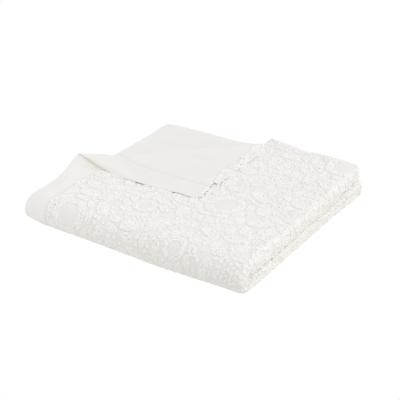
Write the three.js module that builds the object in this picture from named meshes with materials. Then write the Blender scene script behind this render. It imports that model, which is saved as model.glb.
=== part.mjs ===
// Embroidered duvet cover, folded into a pad, with one corner of its top layer turned back.
// Millimetres. +X runs along the rounded front fold, +Y goes to the back, +Z is up.
// The origin lies under the middle of the pad, on the surface that it rests on.
import * as THREE from 'three';

// Pad
const WIDTH = 547;
const DEPTH = 511;
const HEIGHT = 75;

// Cloth: every layer of the cover is two cloths, the face with its short pile and the back
const FACE_CLOTH = 2.4;
const BACK_CLOTH = 1.0;
const CLOTH_GAP = 0.3;
const LAYER_PITCH = 3.4;

// Ends of the layers on the left, measured in from the left edge of the top layer
const SECOND_LAYER_INSET = 22;
const LEFT_FOLD_INSET = 9;
const CLOSED_END_INSET = 20;

// Soft left end of the front fold
const END_ROUND = 34;
const END_PINCH = { upper: 0.17, lower: 0.25 };
const END_SHIFT = 7;
const END_FADE = 70;

// Blunt right edge of each half: radius of the outermost strip, and how far in the inner strips turn
const LOBE_RADIUS = 8;
const INNER_TURN_INSET = 8;

// Turned corner: legs of the square that is turned, radii of its soft crease, height that it lies at
// The loose corner has slid a little along its crease, and the crease ends are lifted
const TURN = 322;
const CREASE = { middle: 5, left: 7, back: 6, reach: 110 };
const LIE = 8;
const SETTLE = 70;
const TIP_SHIFT = { x: 7, y: 2 };
const SLIDE = 13;
const LIFT = { left: 9, back: 6, reach: 100 };

// Raised back edge of the upper half, to the right
const RAISE = { x: 196, y: 262, reachX: 120, reachY: 80, height: 8.5 };

// Sag of the layers that the turned corner leaves bare, and overhang of the lower half at the right
const SAG = { share: 0.19, reach: 70 };
const OVERHANG = 4;

// Lines that all the layers share, measured in from the left edge and from the back edge
const GRID_LINES = [107, 214, TURN];
const FRONT_LINE = 406;

// Steps round the bends
const FRONT_STEPS = 9;
const LOBE_STEPS = 3;
const INNER_STEPS = 4;
const SEAM_STEPS = 4;
const CREASE_SPACING = 26;
const CREASE_LINES = [0, 5, 10, 15, 20, 25, 31, 40, 55, 75, 100, 130, 160, 195];

// Derived sizes
const LEFT = -WIDTH / 2;
const BACK = DEPTH / 2;
const MIDDLE = HEIGHT / 2;
const FACE_OUT = CLOTH_GAP / 2 + FACE_CLOTH;
const BACK_OUT = CLOTH_GAP / 2 + BACK_CLOTH;
const LAYER = LAYER_PITCH / 2;
const STRIP = (MIDDLE - LAYER - FACE_OUT) / 3.5;
const FRONT_AXIS = -DEPTH / 2 + MIDDLE;
const RIGHT_AXIS = WIDTH / 2 - LOBE_RADIUS - LAYER - FACE_OUT;
const INNER_AXIS = RIGHT_AXIS - INNER_TURN_INSET;
const LEFT_AXIS = LEFT + LEFT_FOLD_INSET + 0.5 * STRIP + LAYER + FACE_OUT;
const COLUMNS = GRID_LINES.map((line) => LEFT + line);
const ROWS = GRID_LINES.map((line) => BACK - line);
const FRONT_ROW = BACK - FRONT_LINE;

const clamp = (value) => Math.min(1, Math.max(0, value));
const smooth = (value) => clamp(value) * clamp(value) * (3 - 2 * clamp(value));
const bell = (value) => Math.exp(-value * value);

function turnSteps(name, steps) {
  return Array.from({ length: steps - 1 }, (_, i) => ({ name, angle: (Math.PI * (i + 1)) / steps }));
}

// The outermost strip goes round a blunt edge: a quarter turn, a short way straight down, a quarter turn.
function lobeSteps() {
  const quarter = (side, first) => Array.from({ length: LOBE_STEPS }, (_, i) => {
    const angle = ((first + i) * Math.PI) / 2 / LOBE_STEPS;
    return { name: 'lobe', side, angle };
  });
  return [...quarter(1, 1), ...quarter(-1, LOBE_STEPS)];
}

// Stations along the length of the cover, from the hem at its open end to its closed end.
// The length is folded in half twice, so its four strips nest round one lobe on the right.
function lengthStations() {
  const inner = [LEFT + END_ROUND, ...COLUMNS];
  const run = (name, xs) => xs.map((x) => ({ name, x }));
  const back = [...inner].reverse();
  return [
    ...run('top', [LEFT, ...inner, RIGHT_AXIS]),
    ...lobeSteps(),
    ...run('bottom', [RIGHT_AXIS, ...back, LEFT_AXIS]),
    ...turnSteps('left', INNER_STEPS),
    ...run('third', [LEFT_AXIS, ...inner, INNER_AXIS]),
    ...turnSteps('inner', INNER_STEPS),
    ...run('second', [INNER_AXIS, ...back, LEFT + CLOSED_END_INSET]),
  ];
}

// Stations across the cover, from one side seam to the other.
// The width is folded in half first, so the layers turn at the back of the lower half.
function widthStations() {
  const rows = [BACK, ...ROWS, FRONT_ROW, FRONT_AXIS];
  const down = (name, layer) => rows.map((y) => ({ name, layer, y }));
  const up = (name, layer) => [...rows].reverse().map((y) => ({ name, layer, y }));
  const front = (layer) => turnSteps('front', FRONT_STEPS).map((s) => ({ ...s, layer }));
  const returning = front(-1).map((s) => ({ ...s, angle: Math.PI - s.angle }));
  return [
    ...down('upper', 1),
    ...front(1),
    ...up('lower', 1),
    ...turnSteps('seam', SEAM_STEPS),
    ...down('lower', -1),
    ...returning,
    ...up('upper', -1),
  ];
}

// Section of one half of the pad: x and distance from the middle plane, for an offset from the strip.
function section(station, offset) {
  const { name, x, angle, side } = station;
  const centre = 2 * STRIP;
  if (name === 'top') {
    const own = x === LEFT ? SECOND_LAYER_INSET * clamp((LAYER - offset) / LAYER_PITCH) : 0;
    return [x + own, 3.5 * STRIP + offset];
  }
  if (name === 'second') return [x, 2.5 * STRIP - offset];
  if (name === 'third') return [x, 1.5 * STRIP + offset];
  if (name === 'bottom') return [x, 0.5 * STRIP - offset];
  const sin = Math.sin(angle);
  const cos = Math.cos(angle);
  if (name === 'lobe') {
    const level = centre + side * (1.5 * STRIP - LOBE_RADIUS);
    return [RIGHT_AXIS + (LOBE_RADIUS + offset) * sin, level + (LOBE_RADIUS + offset) * cos];
  }
  if (name === 'left') return [LEFT_AXIS - (0.5 * STRIP + offset) * sin, STRIP - (0.5 * STRIP + offset) * cos];
  return [INNER_AXIS + (0.5 * STRIP - offset) * sin, centre - (0.5 * STRIP - offset) * cos];
}

// A point of the folded pad, for a station each way and a distance from the middle of the layer.
function folded(along, across, out) {
  const { name, y, angle, layer } = across;
  if (name === 'seam') {
    const [x, h] = section(along, (LAYER + out) * Math.cos(angle));
    return [x, BACK + (LAYER + out) * Math.sin(angle), MIDDLE - h];
  }
  const [x, h] = section(along, layer * (LAYER + out));
  if (name === 'upper') return [x, y, MIDDLE + h];
  if (name === 'lower') return [x, y, MIDDLE - h];
  return [x, FRONT_AXIS - h * Math.sin(angle), MIDDLE + h * Math.cos(angle)];
}

// Height that the top layer is lifted by, next to the ends of the crease.
function lift(u, v) {
  const left = LIFT.left * clamp(1 - Math.hypot(u, v - TURN) / LIFT.reach);
  const back = LIFT.back * clamp(1 - Math.hypot(u - TURN, v) / LIFT.reach);
  return left + back;
}

// A point of the turned corner. u is measured from the hem edge and v from the side seam.
function turned(u, v, out) {
  const beyond = (TURN - u - v) / Math.SQRT2;
  const along = (u - v) / Math.SQRT2;
  const end = TURN / Math.SQRT2;
  const near = smooth((Math.abs(along) - end + CREASE.reach) / CREASE.reach);
  const radius = CREASE.middle + ((along < 0 ? CREASE.left : CREASE.back) - CREASE.middle) * near;
  const angle = beyond / radius;
  const loose = beyond - Math.PI * radius;
  let reach = -(radius - out) * Math.sin(angle);
  let height = radius - (radius - out) * Math.cos(angle);
  let share = 0;
  if (loose > 0) {
    reach = loose;
    height = LIE + (2 * radius - LIE) * (1 - smooth(loose / SETTLE)) - out;
    share = loose / end;
  }
  const slide = SLIDE * Math.sin(Math.PI * share);
  const us = u + (beyond + reach) / Math.SQRT2 + TIP_SHIFT.x * share - slide;
  const vs = v + (beyond + reach) / Math.SQRT2 - TIP_SHIFT.y * share + slide;
  return [LEFT + us, BACK - vs, MIDDLE + 3.5 * STRIP + LAYER + height + lift(us, vs)];
}

// The pad as it settles: soft left end, sagging bare corner, raised back edge, lower half further out at the right.
function settled([x, y, z]) {
  const pinch = z > MIDDLE ? END_PINCH.upper * (1 - smooth((y - FRONT_ROW) / END_FADE)) : END_PINCH.lower;
  const end = clamp((LEFT + END_ROUND - x) / END_ROUND);
  const pinched = MIDDLE + (z - MIDDLE) * (1 - pinch * end);
  const bare = (TURN - (x - LEFT) - (BACK - y)) / Math.SQRT2;
  const low = pinched * (1 - SAG.share * smooth(bare / SAG.reach));
  const overhang = clamp((MIDDLE - z) / 10) * smooth((y - FRONT_AXIS) / (BACK - FRONT_AXIS)) * clamp(x / 200);
  const inward = END_SHIFT * clamp((COLUMNS[0] - x) / GRID_LINES[0]) * (1 - smooth((y - FRONT_ROW) / END_FADE));
  const raised = RAISE.height * bell((x - RAISE.x) / RAISE.reachX) * bell((y - RAISE.y) / RAISE.reachY);
  const share = smooth((low - 0.3 * HEIGHT) / (0.7 * HEIGHT));
  return [x + OVERHANG * overhang + inward, y, low + raised * share];
}

// Triangles between two rows of points that have different counts, wound as the rest of the layout.
function zip(first, second, flat) {
  const triangles = [];
  let i = 0;
  let j = 0;
  while (i < first.length - 1 || j < second.length - 1) {
    const ahead = (i + 1) / Math.max(1, first.length - 1);
    const behind = (j + 1) / Math.max(1, second.length - 1);
    if (j === second.length - 1 || (i < first.length - 1 && ahead <= behind)) {
      triangles.push([first[i], first[i + 1], second[j]]);
      i += 1;
    } else {
      triangles.push([first[i], second[j + 1], second[j]]);
      j += 1;
    }
  }
  return triangles.filter((t) => new Set(t).size === 3).map(([a, b, c]) => {
    const [p, q, r] = [flat[a], flat[b], flat[c]];
    const area = (q[0] - p[0]) * (r[1] - p[1]) - (r[0] - p[0]) * (q[1] - p[1]);
    return area > 0 ? [a, b, c] : [a, c, b];
  });
}

// The cover laid out flat as triangles: each point knows where it goes when the cover is folded.
function layout() {
  const along = lengthStations();
  const across = widthStations();
  const points = [];
  const flat = [];
  const triangles = [];
  const add = (place, u, v) => {
    points.push(place);
    flat.push([u, v]);
    return points.length - 1;
  };
  const cut = COLUMNS.length + 1;
  const rowCut = ROWS.length;
  const hidden = (i, j) => i < cut && j < rowCut;
  const index = along.map((a, i) => across.map((b, j) => {
    if (hidden(i, j)) return -1;
    const onTop = a.name === 'top' && b.name === 'upper' && b.layer === 1;
    const rise = onTop ? lift(a.x - LEFT, BACK - b.y) : 0;
    return add((out) => {
      const [x, y, z] = folded(a, b, out);
      return [x, y, z + rise];
    }, a.x - LEFT, BACK - b.y);
  }));
  // Patches beside the crease are halved along it and the rest across it, so all layers sag alike.
  for (let i = 0; i < along.length - 1; i += 1) {
    for (let j = 0; j < across.length - 1; j += 1) {
      if (hidden(i, j)) continue;
      const [p, q, r, s] = [index[i][j], index[i + 1][j], index[i + 1][j + 1], index[i][j + 1]];
      const [start, end] = [points[p](0), points[r](0)];
      const withCrease = (end[0] - start[0]) * (end[1] - start[1]) > 0;
      const besideCrease = (start[1] + end[1]) / 2 > ROWS[2];
      triangles.push(...(withCrease === besideCrease ? [[p, q, r], [p, r, s]] : [[p, q, s], [q, r, s]]));
    }
  }
  const rows = CREASE_LINES.map((beyond, k) => {
    const leg = TURN - beyond * Math.SQRT2;
    const count = Math.max(2, Math.round(leg / CREASE_SPACING));
    return Array.from({ length: count + 1 }, (_, m) => {
      if (k === 0 && m === 0) return index[0][rowCut];
      if (k === 0 && m === count) return index[cut][0];
      const u = (leg * m) / count;
      return add((out) => turned(u, leg - u, out), u, leg - u);
    });
  });
  rows.push([add((out) => turned(0, 0, out), 0, 0)]);
  for (let k = 0; k < rows.length - 1; k += 1) triangles.push(...zip(rows[k], rows[k + 1], flat));
  const middle = Math.floor(rows[0].length / 2);
  const frontLeg = index.slice(0, cut + 1).map((column) => column[rowCut]);
  const rightLeg = index[cut].slice(0, rowCut + 1).reverse();
  triangles.push(...zip(frontLeg, rows[0].slice(0, middle + 1), flat));
  triangles.push(...zip(rightLeg, rows[0].slice(middle), flat));
  return { points, triangles };
}

// One cloth as a closed solid between two distances from the middle of its layer.
function clothSolid({ points, triangles }, inside, outside) {
  const count = points.length;
  const positions = [...points.map((p) => settled(p(outside))), ...points.map((p) => settled(p(inside)))];
  const edges = new Set();
  triangles.forEach(([a, b, c]) => [[a, b], [b, c], [c, a]].forEach(([p, q]) => edges.add(`${p} ${q}`)));
  const faces = triangles.flatMap(([a, b, c]) => [[a, c, b], [a + count, b + count, c + count]]);
  edges.forEach((edge) => {
    const [p, q] = edge.split(' ').map(Number);
    if (edges.has(`${q} ${p}`)) return;
    faces.push([p, q, q + count], [p, q + count, p + count]);
  });
  const geometry = new THREE.BufferGeometry();
  geometry.setAttribute('position', new THREE.Float32BufferAttribute(positions.flat(), 3));
  geometry.setIndex(faces.flat());
  return geometry;
}

const cover = layout();
const face = clothSolid(cover, CLOTH_GAP / 2, FACE_OUT);
const back = clothSolid(cover, -BACK_OUT, -CLOTH_GAP / 2);

// Centre the pad over the origin.
const bounds = new THREE.Box3().setFromBufferAttribute(face.getAttribute('position'));
bounds.union(new THREE.Box3().setFromBufferAttribute(back.getAttribute('position')));
const centre = bounds.getCenter(new THREE.Vector3());

const group = new THREE.Group();
group.name = 'embroidered_duvet_cover';
const cloths = [
  { name: 'face_panel', geometry: face, color: 0xf0efeb, roughness: 0.95 },
  { name: 'back_panel', geometry: back, color: 0xedece8, roughness: 0.9 },
];
for (const { name, geometry, color, roughness } of cloths) {
  geometry.translate(-centre.x, -centre.y, -bounds.min.z);
  geometry.computeVertexNormals();
  const mesh = new THREE.Mesh(geometry, new THREE.MeshStandardMaterial({ color, roughness, metalness: 0 }));
  mesh.name = name;
  group.add(mesh);
}

export default group;
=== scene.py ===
# %% [markdown]
# # Embroidered duvet cover, folded
# The real thing is a large bag of two cotton cloths: a face that is covered with short tufted pile, and a
# plain woven back. It lies folded as a soft pad, and one corner of its top layer is turned over, so that
# the plain back and its deep hem show. This lesson makes the cover as it was made and put away: it draws
# both cloths flat, sews the tufts on the flat cloth, and then folds everything with one set of rules. The
# imported part comes in first, as the fixed frame. The face panel's box is kept, to set the pad in place.

# %% Load the imported part
import math

import bpy
import numpy as np
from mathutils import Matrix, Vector

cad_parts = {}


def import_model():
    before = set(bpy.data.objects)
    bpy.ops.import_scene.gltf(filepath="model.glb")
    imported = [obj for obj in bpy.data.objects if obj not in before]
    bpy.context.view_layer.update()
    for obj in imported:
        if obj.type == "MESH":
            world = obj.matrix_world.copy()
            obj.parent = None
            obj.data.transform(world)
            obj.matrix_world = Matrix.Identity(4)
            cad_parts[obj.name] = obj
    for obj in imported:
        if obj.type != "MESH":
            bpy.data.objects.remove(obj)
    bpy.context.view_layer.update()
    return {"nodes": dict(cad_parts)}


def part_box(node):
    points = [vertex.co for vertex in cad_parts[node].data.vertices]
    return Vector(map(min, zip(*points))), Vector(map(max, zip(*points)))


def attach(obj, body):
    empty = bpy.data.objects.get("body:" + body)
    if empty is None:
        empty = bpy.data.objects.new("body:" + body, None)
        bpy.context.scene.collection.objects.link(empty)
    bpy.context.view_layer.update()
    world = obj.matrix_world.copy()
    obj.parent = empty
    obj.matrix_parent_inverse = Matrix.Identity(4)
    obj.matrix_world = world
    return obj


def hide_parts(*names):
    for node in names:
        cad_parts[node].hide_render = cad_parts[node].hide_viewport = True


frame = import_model()
FACE_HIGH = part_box("face_panel")[1]
print("nodes", sorted(frame["nodes"]))

# %% [markdown]
# The camera stands a little over two metres away, to the right of the front fold and well above it, as
# for a catalogue picture. A long lens keeps the edges of the pad nearly parallel. Its direction is given
# by two angles, because they are easier to judge by eye than a rotation.

# %% Camera
PICTURE_SIDE = 400
FOCAL_LENGTH_IN_PIXELS = 1015
SENSOR_WIDTH = 36
CAMERA_AZIMUTH = math.radians(33.38)
CAMERA_ELEVATION = math.radians(27.62)
CAMERA_DISTANCE = 2.215
AIM_POINT = Vector((0.0062, 0.0027, 0.0284))

towards_camera = Vector((
    math.sin(CAMERA_AZIMUTH) * math.cos(CAMERA_ELEVATION),
    -math.cos(CAMERA_AZIMUTH) * math.cos(CAMERA_ELEVATION),
    math.sin(CAMERA_ELEVATION),
))
camera_data = bpy.data.cameras.new("catalogue_camera")
camera_data.sensor_width = SENSOR_WIDTH
camera_data.lens = SENSOR_WIDTH * FOCAL_LENGTH_IN_PIXELS / PICTURE_SIDE
camera = bpy.data.objects.new("catalogue_camera", camera_data)
camera.location = AIM_POINT + towards_camera * CAMERA_DISTANCE
camera.rotation_mode = "QUATERNION"
camera.rotation_quaternion = (-towards_camera).to_track_quat("-Z", "Y")
bpy.context.scene.collection.objects.link(camera)
bpy.context.scene.camera = camera
print("camera at", [round(value, 3) for value in camera.location], "lens", round(camera_data.lens, 2))

# %% [markdown]
# A folded cover is easiest to describe in millimetres, with the names that a seamstress would use. The
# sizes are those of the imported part: the pad, its two cloths, and the places where the layers end. Each
# layer of the folded cover is both cloths together, a little apart. Each half of the pad is four strips
# of two layers, and a strip's level is counted in strips from the pad's middle plane.

# %% Sizes of the pad and its cloths, in millimetres
WIDTH, DEPTH, HEIGHT = 547, 511, 75
FACE_CLOTH, CLOTH_GAP = 2.4, 0.3
LAYER_PITCH = 3.4
SECOND_LAYER_INSET, LEFT_FOLD_INSET, CLOSED_END_INSET = 22, 9, 20
LOBE_RADIUS, INNER_TURN_INSET = 8, 8
TOP_STRIP, SECOND_STRIP, THIRD_STRIP, BOTTOM_STRIP = 3.5, 2.5, 1.5, 0.5

LEFT, BACK, MIDDLE = -WIDTH / 2, DEPTH / 2, HEIGHT / 2
FACE_OUT = CLOTH_GAP / 2 + FACE_CLOTH
LAYER = LAYER_PITCH / 2
STRIP = (MIDDLE - LAYER - FACE_OUT) / TOP_STRIP
STRIP_TURN = STRIP / 2
FRONT_AXIS = -DEPTH / 2 + MIDDLE
RIGHT_AXIS = WIDTH / 2 - LOBE_RADIUS - LAYER - FACE_OUT
INNER_AXIS = RIGHT_AXIS - INNER_TURN_INSET
LEFT_AXIS = LEFT + LEFT_FOLD_INSET + STRIP_TURN + LAYER + FACE_OUT
print("pitch of the strips", round(STRIP, 2), "mm")

# %% [markdown]
# The length of the cover, from the open hem to the closed end, is folded in half twice. Seen from the
# front that is one line: over the top, round a blunt edge on the right, back under, round a turn on the
# left, and twice more inside. `strip_place` follows that line. It takes u, the distance from the hem
# along the flat cloth, and gives the place across the pad and the distance from the pad's middle plane. A
# line of straights and arcs is used, and no simulation, because it keeps the cloth's true length through
# every fold.

# %% Folds along the length
BLUNT_STRAIGHT = (TOP_STRIP - BOTTOM_STRIP) * STRIP - 2 * LOBE_RADIUS
QUARTER = LOBE_RADIUS * math.pi / 2
LOBE_LEVEL = (TOP_STRIP + BOTTOM_STRIP) / 2 * STRIP
LEFT_LEVEL = (BOTTOM_STRIP + THIRD_STRIP) / 2 * STRIP
INNER_LEVEL = (THIRD_STRIP + SECOND_STRIP) / 2 * STRIP
LENGTH_RUNS = {
    "top": RIGHT_AXIS - LEFT,
    "lobe": 2 * QUARTER + BLUNT_STRAIGHT,
    "bottom": RIGHT_AXIS - LEFT_AXIS,
    "left": math.pi * STRIP_TURN,
    "third": INNER_AXIS - LEFT_AXIS,
    "inner": math.pi * STRIP_TURN,
    "second": INNER_AXIS - LEFT - CLOSED_END_INSET,
}
LENGTH_MARKS = np.concatenate([[0], np.cumsum(list(LENGTH_RUNS.values()))])
START = dict(zip(LENGTH_RUNS, LENGTH_MARKS))
COVER_LENGTH = LENGTH_MARKS[-1]
HEM_TAPER = 34


def clamp(value):
    return np.clip(value, 0.0, 1.0)


def strip_place(u, offset, side):
    round_lobe = u - START["lobe"]
    lobe = clamp(round_lobe / QUARTER) + clamp((round_lobe - QUARTER - BLUNT_STRAIGHT) / QUARTER)
    level = LOBE_LEVEL + BLUNT_STRAIGHT / 2 - np.clip(round_lobe - QUARTER, 0, BLUNT_STRAIGHT)
    blunt = LOBE_RADIUS + offset
    left = (u - START["left"]) / STRIP_TURN
    outer = STRIP_TURN + offset
    inner = (u - START["inner"]) / STRIP_TURN
    tight = STRIP_TURN - offset
    inset = SECOND_LAYER_INSET * (1 - side) / 2 * clamp(1 - u / HEM_TAPER)
    spots = [
        (LEFT + u + inset, TOP_STRIP * STRIP + offset),
        (RIGHT_AXIS + blunt * np.sin(lobe * np.pi / 2), level + blunt * np.cos(lobe * np.pi / 2)),
        (RIGHT_AXIS - (u - START["bottom"]), BOTTOM_STRIP * STRIP - offset),
        (LEFT_AXIS - outer * np.sin(left), LEFT_LEVEL - outer * np.cos(left)),
        (LEFT_AXIS + (u - START["third"]), THIRD_STRIP * STRIP + offset),
        (INNER_AXIS + tight * np.sin(inner), INNER_LEVEL - tight * np.cos(inner)),
        (INNER_AXIS - (u - START["second"]), SECOND_STRIP * STRIP - offset),
    ]
    runs = [u < mark for mark in LENGTH_MARKS[1:-1]] + [np.ones_like(u, dtype=bool)]
    return np.select(runs, [spot[0] for spot in spots]), np.select(runs, [spot[1] for spot in spots])


print("length of the cover", round(COVER_LENGTH), "mm")

# %% [markdown]
# The width is folded in half first, and the whole stack is then folded from the front to the back. So v,
# the distance from one side seam, runs over the top, round the big front fold, back below, round a
# hairpin at the back, and the same way again inside. Every value along that way changes evenly between
# marks, so `np.interp` is all that it takes. The last argument, out, is the height above the middle of
# the layer, on the face's side.

# %% Folds across the width
RUN = BACK - FRONT_AXIS
FRONT_TURN = math.pi * TOP_STRIP * STRIP
WIDTH_RUNS = [RUN, FRONT_TURN, RUN, math.pi * LAYER, RUN, FRONT_TURN, RUN]
WIDTH_MARKS = np.concatenate([[0], np.cumsum(WIDTH_RUNS)])
FRONT_START, FRONT_END, HAIRPIN_START, HAIRPIN_END, INNER_START, INNER_END, COVER_WIDTH = WIDTH_MARKS[1:]
DEPTHS = [BACK, FRONT_AXIS, FRONT_AXIS, BACK, BACK, FRONT_AXIS, FRONT_AXIS, BACK]
TURNS = [0, 0, math.pi, math.pi, math.pi, math.pi, 0, 0]
HAIRPINS = [0, 0, 0, 0, math.pi, math.pi, math.pi, math.pi]


def folded(u, v, out):
    hairpin = np.interp(v, WIDTH_MARKS, HAIRPINS)
    turn = np.interp(v, WIDTH_MARKS, TURNS)
    side = np.cos(hairpin)
    x, height = strip_place(u, side * (LAYER + out), side)
    y = np.interp(v, WIDTH_MARKS, DEPTHS) - height * np.sin(turn) + (LAYER + out) * np.sin(hairpin)
    return x, y, MIDDLE + height * np.cos(turn)


print("width of the cover", round(COVER_WIDTH), "mm")

# %% [markdown]
# One corner of the top layer is turned over along a slanting crease. Where the crease runs out over the
# edges of the pad, both layers rise together to a peak. The front one is like one side of a tent: it
# falls evenly along the hem and along the crease, and in a hollow curve down the pad's left side. The
# back one is lower. They could be pulled up by hand with a soft brush, but slopes of a given height and
# reach can be measured. The hem's edge and the side seam of the corner are a little wavy too, so that
# they touch the pile in some places and stand off it in others.

# %% Peaks and wavy edges
TURN, HEM = 322, 60
FRONT_PEAK, HEM_REACH, CREASE_REACH = 21, 158, 61
FLANK_REACH, FLANK_WIDTH, SLOPE_REACH, FLANK_STEEPNESS = 90, 30, 29, 2.4
BACK_PEAK, PEAK_ALONG, PEAK_OUTER, PEAK_INNER, PEAK_BLEND = 14, 24, 60, 40, 20
# Each wave: its place along the edge, its reach and its height.
HEM_WAVES = [(272, 26, 1.8), (224, 12, 1.4), (145, 38, 1.7), (45, 18, 2.0)]
SEAM_WAVES = [(36, 17, 1.6), (70, 15, 2.0)]
WAVE_DEPTH = 17
ROOT_TWO = math.sqrt(2)


def smooth(value):
    share = clamp(value)
    return share * share * (3 - 2 * share)


def soft_step(past_line, width):
    return smooth(past_line / width + 0.5)


def bell(value):
    return np.exp(-value * value)


def front_peak(u, v):
    before_hem = v - TURN
    tent = 1 - u / HEM_REACH + np.minimum(before_hem, 0) * (1 / CREASE_REACH - 1 / HEM_REACH)
    reach = SLOPE_REACH + (FLANK_REACH - SLOPE_REACH) * bell(u / FLANK_WIDTH)
    return FRONT_PEAK * clamp(tent) * clamp(1 - np.maximum(before_hem, 0) / reach) ** FLANK_STEEPNESS


def back_peak(u, v):
    across = np.maximum(0, u + v - TURN) / ROOT_TWO
    along = (TURN + v - u) / ROOT_TWO
    reach = PEAK_OUTER + (PEAK_INNER - PEAK_OUTER) * soft_step(along, PEAK_BLEND)
    return BACK_PEAK * (1 - clamp(along / PEAK_ALONG)) * clamp(1 - across / reach)


def lift(u, v):
    return front_peak(u, v) + back_peak(u, v)


def edge_waves(u, v):
    hem = sum(size * bell((v - middle) / reach) for middle, reach, size in HEM_WAVES)
    seam = sum(size * bell((u - middle) / reach) for middle, reach, size in SEAM_WAVES)
    return hem * bell(u / WAVE_DEPTH) + seam * bell(v / WAVE_DEPTH)


print("peaks of", FRONT_PEAK, "and", BACK_PEAK, "mm")

# %% [markdown]
# The corner itself could be bent with a hook or a cloth simulation, but a crease of a known radius is
# plain geometry: a point beyond the crease goes round the roll, and past half a turn it lies on the layer
# below, settling lower as it goes. The roll is full in the middle and pinched at both edges. The hem has
# no tufts under it, so it lies lower than the rest. The loose corner has slid a little along the crease,
# so its hem runs in a shallow curve.

# %% Turned corner
CREASE, PINCHED, PINCH_REACH, SETTLE = 4.3, 1.0, 40, 40
ON_HEM_LIE, HEM_LIE, TUFTED_LIE = 2.5, 3.1, 4.2
HEM_STEP, PILE_START, PILE_BLEND = 16, 8, 24
EDGE_DROOP, DROOP_WIDTH, EDGE_TUCK, TUCK_WIDTH = 1.0, 12, 0.7, 2
TIP_SHIFT_X, TIP_SHIFT_Y, SLIDE = 7, 2, 13


def turned(u, v, out):
    beyond = np.maximum(0, (TURN - u - v) / ROOT_TWO)
    radius = PINCHED + (CREASE - PINCHED) * smooth(np.minimum(u, v) / PINCH_REACH)
    angle = np.minimum(beyond / radius, np.pi)
    loose = np.maximum(0, beyond - np.pi * radius)
    reach = loose - (radius - out) * np.sin(angle)
    share = loose / (TURN / ROOT_TWO)
    slide = SLIDE * np.sin(np.pi * clamp(share))
    us = u + (beyond + reach) / ROOT_TWO + TIP_SHIFT_X * share - slide
    vs = v + (beyond + reach) / ROOT_TWO - TIP_SHIFT_Y * share + slide
    down = smooth(loose / SETTLE)
    lie = ON_HEM_LIE + (HEM_LIE - ON_HEM_LIE) * soft_step(us - HEM, HEM_STEP)
    lie = lie + (TUFTED_LIE - HEM_LIE) * smooth((u - HEM + PILE_START) / PILE_BLEND)
    lie = lie - EDGE_DROOP * bell(np.minimum(u, v) / DROOP_WIDTH) * smooth((us - HEM) / HEM_STEP)
    lie = lie - EDGE_TUCK * bell(u / TUCK_WIDTH)
    rolled = radius - (radius - out) * np.cos(angle)
    height = rolled - (2 * radius - lie) * down + edge_waves(u, v) * down
    return LEFT + us, BACK - vs, MIDDLE + TOP_STRIP * STRIP + LAYER + height + lift(us, vs)


print("legs of the turned corner", TURN, "mm, roll", 2 * CREASE, "mm thick")

# %% [markdown]
# Cloth never lies as true as a drawing. The pad's left end is soft and rounded, the layers that the
# turned corner leaves bare sag and round off at their own corner, and the front fold spreads a little on
# the floor. On the right the two halves settle each in its own way: the upper one draws in towards the
# back and the lower one comes out there, with its lowest edge tucked under. All of this bends space, and
# not one layer, so the layers follow each other and never cut into each other.

# %% Settled
END_ROUND, UPPER_PINCH, LOWER_PINCH, END_SHIFT, END_FADE = 34, 0.17, 0.25, 7, 70
END_FROM_BACK, SHIFT_REACH = 406, 112
SAG_SHARE, SAG_LESS_BEHIND, SAG_REACH, SAG_BEHIND, SAG_BLEND = 0.19, 0.06, 70, 170, 85
OVERHANG, DRAWN_IN, HALVES_BLEND, RIGHT_REACH, BEHIND_START = 4, 4, 10, 200, 60
TUCK, TUCK_HEIGHT, TUCK_START, TUCK_BLEND = 5, 15, 180, 80
STACK_ROUND, STACK_REACH = 5, 34
SPREAD, SPREAD_HEIGHT, SPREAD_MIDDLE, SPREAD_REACH, SPREAD_BLEND = 8, 14, 70, 115, 20


def settled(x, y, z):
    fade = 1 - smooth((y - BACK + END_FROM_BACK) / END_FADE)
    pinch = np.where(z > MIDDLE, UPPER_PINCH * fade, LOWER_PINCH)
    end = clamp((LEFT + END_ROUND - x) / END_ROUND)
    pinched = MIDDLE + (z - MIDDLE) * (1 - pinch * end)
    bare = (TURN - (x - LEFT) - (BACK - y)) / ROOT_TWO
    sag = SAG_SHARE - SAG_LESS_BEHIND * smooth((y - SAG_BEHIND) / SAG_BLEND)
    low = pinched * (1 - sag * smooth(bare / SAG_REACH))
    behind = smooth((y - BEHIND_START) / (BACK - BEHIND_START))
    outward = OVERHANG * clamp((MIDDLE - z) / HALVES_BLEND) * behind
    outward = outward - DRAWN_IN * clamp((z - MIDDLE) / HALVES_BLEND) * behind
    outward = outward - TUCK * smooth(1 - z / TUCK_HEIGHT) * smooth((x - TUCK_START) / TUCK_BLEND)
    inward = END_SHIFT * clamp((LEFT + SHIFT_REACH - x) / SHIFT_REACH) * fade
    left_end = clamp((LEFT + SECOND_LAYER_INSET + STACK_REACH - x) / STACK_REACH)
    rounding = STACK_ROUND * left_end * clamp((y - BACK + STACK_REACH) / STACK_REACH)
    foot = bell(z / SPREAD_HEIGHT) * smooth((FRONT_AXIS - y) / SPREAD_BLEND)
    spread_out = SPREAD * foot * bell((x - SPREAD_MIDDLE) / SPREAD_REACH)
    return x + outward * clamp(x / RIGHT_REACH) + inward + rounding, y - rounding - spread_out, low


print("the bare corner keeps", round(100 * (1 - SAG_SHARE)), "percent of its height")
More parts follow.
